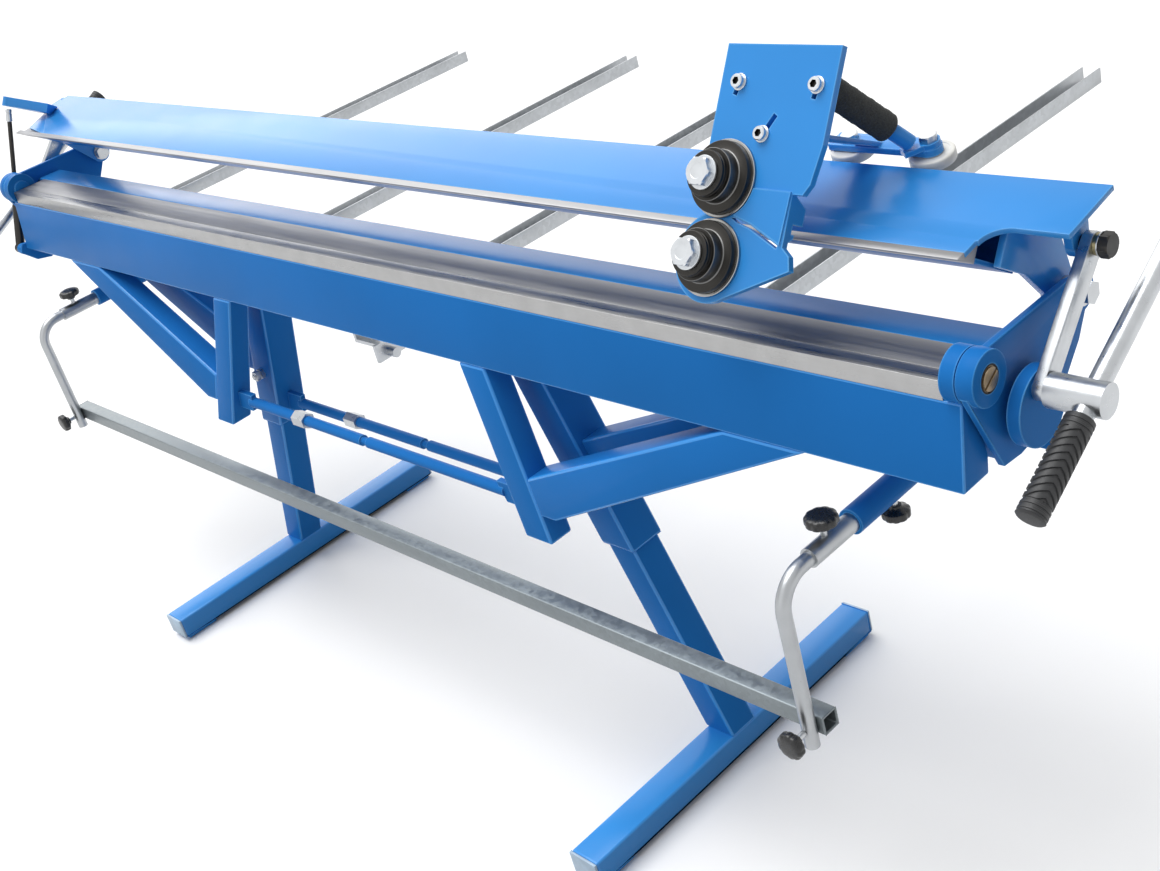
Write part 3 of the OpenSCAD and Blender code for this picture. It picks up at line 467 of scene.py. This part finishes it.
outline += [(NOTCH_TOP, NOTCH_U), (BEAM_RIGHT, NOTCH_U), (BEAM_RIGHT, BEAM_WIDE), (-HALF, BEAM_WIDE)]
stand_for([slab("beam_sheet", outline, BEAM_THICK, FLAT, LIT_GLOSS, SHEET_ROUND)], "beam_plate")

# lever grips: ribbed collar, chevron tread, stepped nose
BAR_LENGTH = 0.500
GRIP_LENGTH = 0.112
GRIP_RADIUS = 0.016
GRIP_OVERHANG = 0.004
COLLAR = 0.016
CHEVRON_PITCH = 0.0085
CHEVRON_DEPTH = 0.0015
CHEVRON_RISE = 0.013
GROOVE_SHARE = 0.34
SEAM_START = 0.93
RING_PITCH = 0.0053
RING_DEPTH = 0.0009


def tread(along, radius, angle):
    """Chevron tread between the ribbed ends, two V rows round the grip; rings on the ends."""
    if along < COLLAR or along > GRIP_LENGTH - COLLAR:
        return radius - (RING_DEPTH if math.sin(along * 2 * math.pi / RING_PITCH) < -0.1 else 0.0)
    fold = abs((angle / math.pi + 0.25) % 1.0 - 0.5) * 2.0
    wave = ((along + fold * CHEVRON_RISE) / CHEVRON_PITCH) % 1.0
    return radius - (CHEVRON_DEPTH if wave < GROOVE_SHARE or fold > SEAM_START else 0.0)


def grip_profile():
    """Rows of a grip from its collar end to its rim."""
    body = GRIP_RADIUS - 0.0006
    rows = [(0.0, body - 0.004, 0), (0.0006, body - 0.0015, 0), (0.002, body, 0)]
    rows += [(along, body, 0) for along in spread(0.003, GRIP_LENGTH - 0.004, 190)]
    return rows + [(GRIP_LENGTH - 0.003, GRIP_RADIUS, 0), (GRIP_LENGTH - 0.001, GRIP_RADIUS, 0),
                   (GRIP_LENGTH, GRIP_RADIUS - 0.002, 0)]


for side in ("left", "right"):
    axis = Vector(JOINTS[side + "_lever_slide"]["axis"])
    centre = middle(side + "_bar")
    grips = []
    for way in (-1, 1):
        tip = centre + axis * way * (BAR_LENGTH / 2 + GRIP_OVERHANG)
        grips.append(lathe(f"{side}_grip_{'front' if way < 0 else 'rear'}", tip, -way * axis, grip_profile(),
                           [RUBBER], 180, tread, FINE_CREASE))
    stand_for(grips, side + "_grips")

# pull links: flat bar, olive bush, washer and black hexagon bolt at the beam end
LINK_WIDE = 0.025
LINK_THICK = 0.012
LINK_OUT = 1.150
LINK_TOP = (-0.0635, 0.043)
LINK_ROUND = 0.0010
LINK_HOLE = 0.00905
HOLE_POINTS = 32
BOLT_BACK = 0.0155
LINK_HEAD = (0.0217, 0.0317, 0.0135)
LINK_BOLT = [(0.0, 0.0080, 0), (0.0156, 0.0080, 0), (0.0156, 0.0112, 1), (0.0160, 0.0116, 1), (0.0196, 0.0116, 1),
             (0.0200, 0.0112, 1), (0.0200, 0.0126, 2), (0.0204, 0.0130, 2), (0.0213, 0.0130, 2), (0.0216, 0.0127, 2),
             (0.0217, 0.0135, 0), (0.0304, 0.0135, 0), (0.0317, 0.0119, 0)]
for side, way in (("left", -1), ("right", 1)):
    low = Vector(JOINTS[side + "_link_turn"]["pos_m"])
    low.x = way * LINK_OUT
    top = BEAM @ Vector((way * LINK_OUT, *LINK_TOP))
    along = (top - low).normalized()
    out = Vector((way, 0.0, 0.0))
    turn = Matrix((along, out.cross(along), out)).transposed().to_4x4()
    turn.translation = low
    reach = (top - low).length
    outline = arc((0.0, 0.0), LINK_WIDE / 2, 90.0, 270.0, 17) + arc((reach, 0.0), LINK_WIDE / 2, -90.0, 90.0, 17)
    bar = slab(side + "_link_bar", outline, LINK_THICK, turn, PLATED, LINK_ROUND,
               [arc((0.0, 0.0), LINK_HOLE, 0.0, 360.0 - 360.0 / HOLE_POINTS, HOLE_POINTS)])
    bolt = lathe(side + "_link_bolt", top - out * BOLT_BACK, out, LINK_BOLT, [BLACK_METAL, BUSH, PLATED], 96,
                 six_sided(*LINK_HEAD), BOLT_CREASE)
    stand_for([bar, bolt], side + "_link")

# hinge pins: slotted brass face in a recess lined with black steel as painted shade of the gap, blue-painted shank
PIN_LONG = 0.0425
PIN_RADIUS = 0.015
PIN_INSET = 0.020
PIN_FACE = 0.0122
PIN_FACE_THICK = 0.0018
PIN_FACE_ROUND = 0.0003
SLOT_HALF_ANGLE = 7.0
SLOT_TURN = math.radians(28.0)
hinge = Vector(JOINTS["leaf_hinge"]["pos_m"])
# rows with material 2 line the recess round the face in black steel: painted shade in the gap
rows = [(0.0, 0.0140, 1), (0.0006, PIN_RADIUS, 1), (0.0400, PIN_RADIUS, 1), (0.0412, 0.0149, 2),
        (0.0412, 0.0134, 2), (0.0404, 0.0131, 2), (0.0404, PIN_FACE, 0), (0.0409, PIN_FACE, 0)]
pins = []
for side, way in (("left", -1), ("right", 1)):
    out = Vector((way, 0.0, 0.0))
    inner = Vector((way * (HALF - PIN_INSET), hinge.y, hinge.z))
    pins.append(lathe(side + "_pin", inner, out, rows, [TURNED, PAINT, BLACK_METAL], 72))
    face = Matrix((Vector((0.0, way, 0.0)), Vector((0.0, 0.0, 1.0)), out)).transposed().to_4x4()
    face.translation = inner + out * PIN_LONG
    for half in (0, 1):
        moon = arc((0.0, 0.0), PIN_FACE, SLOT_HALF_ANGLE, 180.0 - SLOT_HALF_ANGLE, 28)
        turn = face @ Matrix.Rotation(SLOT_TURN * way + math.pi * half, 4, "Z")
        pins.append(slab(f"{side}_pin_face_{half}", moon, PIN_FACE_THICK, turn, TURNED, PIN_FACE_ROUND))
stand_for(pins, "hinge_pins")

# lever hubs: turned block with a chamfered outer end; the bar goes through it
for side in ("left", "right"):
    soften(side + "_hub", *TURNED_BLOCK)

# gas strut rod: dark bar with a plated end fitting
STRUT_FOOT = Vector(JOINTS["strut_tilt"]["pos_m"])
STRUT_AXIS = Vector(JOINTS["strut_stroke"]["axis"])
STRUT_TIP = 0.006
STRUT_LONG = (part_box("strut_rod")[1][2] - STRUT_FOOT.z - STRUT_TIP * STRUT_AXIS.y) / STRUT_AXIS.z
rows = [(0.122, 0.0040, 0), (0.1225, 0.0045, 0), (STRUT_LONG - 0.0245, 0.0045, 0), (STRUT_LONG - 0.024, 0.0052, 1),
        (STRUT_LONG - 0.023, 0.0060, 1), (STRUT_LONG - 0.009, 0.0060, 1), (STRUT_LONG - 0.0085, 0.0053, 1),
        (STRUT_LONG - 0.007, 0.0053, 1), (STRUT_LONG - 0.0065, 0.0060, 1), (STRUT_LONG - 0.001, 0.0060, 1),
        (STRUT_LONG, 0.0052, 1)]
stand_for([lathe("strut_rod_turned", STRUT_FOOT, STRUT_AXIS, rows, [BLACK_METAL, PLATED], 48)], "strut_rod")

# clamping knobs: stem, waist and fluted mushroom head
KNOB_FLUTES = 10
FLUTE_DEPTH = 0.0009
FLUTE_START, FLUTE_END = 0.016, 0.0295
KNOB_HEADS = {"socket": 0.0172, "arm": 0.0193, "bar": 0.0172}
KNOB_WAYS = {"socket": (0, 0, -1), "arm": (0, 0, 1), "bar": (0, -1, 0)}
KNOB_HEIGHT = 0.030
HEAD_ROWS = ((0.0185, 0.96), (0.0198, 0.995), (0.0215, 1.0), (0.0245, 1.0), (0.0262, 0.985), (0.0275, 0.94),
             (0.0287, 0.85), (0.0295, 0.70), (0.0299, 0.50), (0.0300, 0.25))


def fluted(along, radius, angle):
    """Shallow flutes round a knob's head."""
    if FLUTE_START < along < FLUTE_END:
        return radius - FLUTE_DEPTH * (0.5 - 0.5 * math.cos(angle * KNOB_FLUTES)) ** 2
    return radius


for side in ("left", "right"):
    for place, head in KNOB_HEADS.items():
        node = f"{side}_{place}_knob"
        way = Vector(KNOB_WAYS[place])
        rows = [(0.0, 0.0038, 1), (0.0005, 0.004, 1), (0.012, 0.004, 1), (0.0121, 0.0075, 0), (0.0135, 0.008, 0),
                (0.016, head * 0.62, 0), (0.0175, head * 0.86, 0)]
        rows += [(along, head * share, 0) for along, share in HEAD_ROWS]
        stand_for([lathe(node + "_turned", middle(node) - way * KNOB_HEIGHT / 2, way, rows, [KNOB, PLATED], 80,
                         fluted)], node)

# slitter, with its own plane: x along the beam from the knives, -y to the front, z up the plate
SLITTER_X = 0.811
PLATE = 0.008
SLITTER_BACK = -0.220
KNIFE_GAP = 0.0005
SLITTER = BEAM @ Matrix.Translation((SLITTER_X, SLITTER_BACK - PLATE, 0.0))
FRONT = SLITTER.to_3x3() @ Vector((0.0, -1.0, 0.0))
KNIFE_RADIUS = 0.0415
KNIFE_UP, KNIFE_DOWN = 0.0493, -0.0343
KNIFE_ROWS = [
    (0.0, 0.0081, 0), (0.0, 0.0405, 1), (0.0005, KNIFE_RADIUS, 1), (0.0024, KNIFE_RADIUS, 1), (0.0030, 0.0409, 1),
    (0.0030, 0.0389, 1), (0.0034, 0.0385, 0), (0.0104, 0.0385, 0), (0.0110, 0.0379, 0), (0.0110, 0.0292, 0),
    (0.0114, 0.0284, 2), (0.0118, 0.0280, 2), (0.0244, 0.0280, 2), (0.0250, 0.0274, 2), (0.0250, 0.0243, 0),
    (0.0256, 0.0240, 0), (0.0286, 0.0240, 0), (0.0290, 0.0234, 0), (0.0296, 0.0234, 0), (0.0300, 0.0240, 0),
    (0.0326, 0.0240, 0), (0.0332, 0.0233, 0), (0.0332, 0.0081, 0),
]
KNIFE_HEAD = (0.0450, 0.0540, 0.0162)
KNIFE_BOLT = [(0.0, 0.0075, 0), (0.0005, 0.0080, 0), (0.0420, 0.0080, 0), (0.0420, 0.0176, 0), (0.0424, 0.0180, 0),
              (0.0445, 0.0180, 0), (0.0449, 0.0176, 0), (0.0450, 0.0162, 0), (0.0527, 0.0162, 0), (0.0540, 0.0143, 0),
              (0.0540, 0.0085, 0), (0.0537, 0.0081, 0)]
# the last row lines the hexagon socket with black steel: painted shade in the recess
SLOT_SCREW = [(0.0, 0.0042, 0), (0.0004, 0.0045, 0), (0.0160, 0.0045, 0), (0.0160, 0.0088, 0), (0.0163, 0.0090, 0),
              (0.0178, 0.0090, 0), (0.0180, 0.0087, 0), (0.0180, 0.0075, 0), (0.0230, 0.0075, 0), (0.0240, 0.0066, 0),
              (0.0240, 0.0043, 0), (0.0205, 0.0043, 1)]
SOCKET_FLOOR, SOCKET_RADIUS = 0.0200, 0.00435
SLOT_PLACES = ((-0.005, 0.150), (0.097, 0.150), (0.0385, 0.098))


def socketed(along, radius, angle):
    """Hexagon socket in a screw head."""
    return hexagon(radius, angle) if radius < SOCKET_RADIUS and along > SOCKET_FLOOR else radius


fittings = []
for which, height in (("upper", KNIFE_UP), ("lower", KNIFE_DOWN)):
    knife = lathe(which + "_knife_turned", SLITTER @ Vector((0.0, -KNIFE_GAP, height)), FRONT, KNIFE_ROWS,
                  [BLACK_METAL, RIM_STEEL, HUB_STEEL], 144)
    stand_for([knife], which + "_knife")
    fittings.append(lathe(which + "_knife_bolt", SLITTER @ Vector((0.0, PLATE, height)), FRONT, KNIFE_BOLT, [BRIGHT],
                          96, six_sided(*KNIFE_HEAD), BOLT_CREASE))
for index, (x, z) in enumerate(SLOT_PLACES):
    fittings.append(lathe(f"slot_screw_{index}", SLITTER @ Vector((x, 2 * PLATE, z)), FRONT, SLOT_SCREW,
                          [BRIGHT, BLACK_METAL], 72, socketed, FINE_CREASE))
ROLLER_X = (0.030, 0.134)
ROLLER_RADIUS = 0.025
ROLLER_GAP = 0.0004
ROLLER_BOLT = 0.0070
ROLLER_BOLT_HEAD = 0.0105
ROLLER_BOLT_BACK = 0.0043
ROLLER_HEAD_TALL = 0.0070
ROLLER_U = BEAM_WIDE + ROLLER_RADIUS + ROLLER_GAP
ROLLER_LOW, ROLLER_TOP = -0.0075, 0.004
BAR_ABOVE = 0.0083
BAR_TOP = ROLLER_TOP + BAR_ABOVE
TAB = 0.006
UP = FLAT.to_3x3() @ Vector((0.0, 0.0, 1.0))
for index, letter in enumerate("ab"):
    x = SLITTER_X + ROLLER_X[index]
    tall = ROLLER_TOP - ROLLER_LOW
    rows = [(0.0, 0.0072, 0), (0.0, 0.0232, 0), (0.0006, 0.0244, 0), (0.0018, ROLLER_RADIUS, 0),
            (tall - 0.0018, ROLLER_RADIUS, 0), (tall - 0.0006, 0.0244, 0), (tall, 0.0232, 0), (tall, 0.0200, 0),
            (tall - 0.0008, 0.0194, 0), (tall - 0.0008, 0.0120, 0), (tall, 0.0114, 0), (tall, 0.0072, 0)]
    node = "guide_roller_" + letter
    stand_for([lathe(node + "_turned", FLAT @ Vector((x, ROLLER_U, ROLLER_LOW)), UP, rows, [ROLLER], 96)], node)
    head = BAR_TOP + TAB * index - ROLLER_LOW + ROLLER_BOLT_BACK
    rows = [(0.0, 0.0100, 0), (0.0008, 0.0110, 0), (0.0036, 0.0110, 0), (0.0040, 0.0106, 0),
            (0.0040, ROLLER_BOLT, 0), (head, ROLLER_BOLT, 0), (head, ROLLER_BOLT_HEAD, 0),
            (head + 0.0058, ROLLER_BOLT_HEAD, 0), (head + ROLLER_HEAD_TALL, 0.0092, 0)]
    foot = FLAT @ Vector((x, ROLLER_U, ROLLER_LOW - ROLLER_BOLT_BACK))
    fittings.append(lathe(f"roller_bolt_{letter}", foot, UP, rows, [PLATED], 96,
                          six_sided(head, head + ROLLER_HEAD_TALL, ROLLER_BOLT_HEAD), BOLT_CREASE))
stand_for(fittings, "slitter_bolts")

# foam sleeve of the push handle: uneven skin, soft ends
HANDLE_TURN = math.radians(-36.5)
HANDLE_TILT = math.radians(35.0)
HANDLE_FORWARD = -0.020
HANDLE_GAP = 0.0001
HANDLE_RADIUS = 0.009
HANDLE_UP = BAR_TOP + HANDLE_GAP + TAB + HANDLE_RADIUS * math.sin(HANDLE_TILT)
HANDLE = (FLAT @ Matrix.Translation((SLITTER_X + ROLLER_X[1], ROLLER_U, 0.0)) @ Matrix.Rotation(HANDLE_TURN, 4, "Z")
          @ Matrix.Translation((0.0, HANDLE_FORWARD, HANDLE_UP))
          @ Matrix.Rotation(HANDLE_TILT, 4, "X"))
FOAM_START, FOAM_END, FOAM_RADIUS = 0.030, 0.116, 0.016
FOAM_LONG = FOAM_END - FOAM_START
FOAM_ENDS = 0.012
FOAM_SINK, DENT_DEPTH, GRAIN_DEPTH = 0.0004, 0.00035, 0.00022


def spongy(along, radius, angle):
    """Shallow dents of a foam sleeve that has been gripped."""
    wave = math.sin(along * 410.0 + 2.0 * math.sin(angle * 2.0)) * math.sin(angle * 3.0 + along * 130.0)
    grain = math.sin(along * 2300.0 + angle * 17.0) * math.sin(angle * 23.0 - along * 1700.0)
    return radius - FOAM_SINK - DENT_DEPTH * wave - GRAIN_DEPTH * grain if radius > FOAM_ENDS else radius


rows = [(0.0, 0.0091, 0), (0.0, 0.0135, 0), (0.0008, 0.0148, 0), (0.0025, 0.0157, 0)]
rows += [(along, FOAM_RADIUS, 0) for along in spread(0.004, FOAM_LONG - 0.004, 70)]
rows += [(FOAM_LONG - 0.0025, 0.0157, 0), (FOAM_LONG - 0.0008, 0.0148, 0), (FOAM_LONG, 0.0135, 0),
         (FOAM_LONG, 0.0091, 0)]
stand_for([lathe("slitter_sleeve", HANDLE @ Vector((0.0, 0.0, FOAM_START)),
                 HANDLE.to_3x3() @ Vector((0.0, 0.0, 1.0)), rows, [SPONGE], 120, spongy,
                 FOAM_CREASE)], "slitter_grip")


# stage

FLOOR_PALE, FLOOR_PALER = (0.93, 0.93, 0.93), (0.95, 0.95, 0.95)
FLOOR_BOUNCE = (0.45, 0.45, 0.45)
FLOOR_HALF = 40.0
FLOOR_GAP = 0.0005


def seen_mask(s):
    """1 for camera, glossy and transmitted rays, which see the pale background."""
    paths = s.node("ShaderNodeLightPath")
    return s.math("MAXIMUM", s.math("MAXIMUM", paths.outputs["Is Camera Ray"], paths.outputs["Is Glossy Ray"]),
                  paths.outputs["Is Transmission Ray"])


def floor_material():
    """Plain pale floor that keeps the shadow; what it bounces on to the object is held to a grey floor's level."""
    s = Shader("studio_floor")
    pale = s.mix(s.noise(0.9, 2.0), FLOOR_PALE, FLOOR_PALER)
    s.colour(s.mix(seen_mask(s), FLOOR_BOUNCE, pale))
    s.set(Roughness=0.9, Specular_IOR_Level=0.0)
    return s.material


mesh = bpy.data.meshes.new("studio_floor")
mesh.from_pydata([(-FLOOR_HALF, -FLOOR_HALF, 0), (FLOOR_HALF, -FLOOR_HALF, 0), (FLOOR_HALF, FLOOR_HALF, 0),
                  (-FLOOR_HALF, FLOOR_HALF, 0)], [], [(0, 1, 2, 3)])
floor = bpy.data.objects.new("studio_floor", mesh)
bpy.context.scene.collection.objects.link(floor)
floor.location.z = CAD_BOX[0][2] - FLOOR_GAP
mesh.materials.append(floor_material())

# white to the camera and in reflections; the soft light on the object is stronger from the left and above
SKY_SIDE = Vector((-0.62, -0.30, 0.72))
SKY_DIM, SKY_STRONG = 0.20, 0.58
world = bpy.data.worlds.new("studio")
bpy.context.scene.world = world
world.use_nodes = True


class Sky(Shader):
    """The world's node tree, with the same short calls."""

    def __init__(self, sky_world):
        self.tree = sky_world.node_tree


sky = Sky(world)
place = sky.node("ShaderNodeTexCoord")
side = sky.node("ShaderNodeVectorMath", operation="DOT_PRODUCT")
sky.link(place.outputs["Generated"], side.inputs[0])
side.inputs[1].default_value = SKY_SIDE.normalized()
level = sky.node("ShaderNodeMix", data_type="FLOAT")
sky.link(seen_mask(sky), level.inputs["Factor"])
sky.link(sky.ramp(side.outputs["Value"], -0.7, 0.8, SKY_DIM, SKY_STRONG), level.inputs[2])
level.inputs[3].default_value = 1.0
background = world.node_tree.nodes["Background"]
background.inputs["Color"].default_value = (1.0, 1.0, 1.0, 1.0)
sky.link(level.outputs[0], background.inputs["Strength"])


def sun(name, direction, strength, spread_degrees):
    """A soft distant lamp that shines along direction."""
    data = bpy.data.lights.new(name, "SUN")
    data.energy = strength
    data.angle = math.radians(spread_degrees)
    made = bpy.data.objects.new(name, data)
    bpy.context.scene.collection.objects.link(made)
    made.rotation_euler = Vector(direction).to_track_quat("-Z", "Y").to_euler()


LAMPS = (
    ("key", (0.30, 0.16, -1.0), 2.2, 45.0),
    ("front", (0.15, 0.92, -0.35), 0.30, 60.0),
    ("back", (0.80, -0.36, -0.45), 0.8, 50.0),
)
for lamp in LAMPS:
    sun(*lamp)

# camera, fitted to straight edges of the photograph (1160 x 871)
PHOTO_WIDTH = 1160
FOCAL_PIXELS = 1487.0
CAMERA_PLACE = (1.8594, -1.3464, 1.4661)
YAW, PITCH, ROLL = (math.radians(angle) for angle in (53.187, 28.036, 15.808))
forward = Vector((-math.sin(YAW) * math.cos(PITCH), math.cos(YAW) * math.cos(PITCH), -math.sin(PITCH)))
level_right = Vector((math.cos(YAW), math.sin(YAW), 0.0))
level_down = forward.cross(level_right)
right = math.cos(ROLL) * level_right + math.sin(ROLL) * level_down
down = -math.sin(ROLL) * level_right + math.cos(ROLL) * level_down
lens = bpy.data.cameras.new("photo_camera")
lens.sensor_fit = "HORIZONTAL"
lens.sensor_width = 36.0
lens.lens = lens.sensor_width * FOCAL_PIXELS / PHOTO_WIDTH
camera = bpy.data.objects.new("photo_camera", lens)
bpy.context.scene.collection.objects.link(camera)
turn = Matrix((right, -down, -forward)).transposed().to_4x4()
camera.matrix_world = Matrix.Translation(CAMERA_PLACE) @ turn
bpy.context.scene.camera = camera

bpy.context.scene.view_settings.view_transform = "Standard"
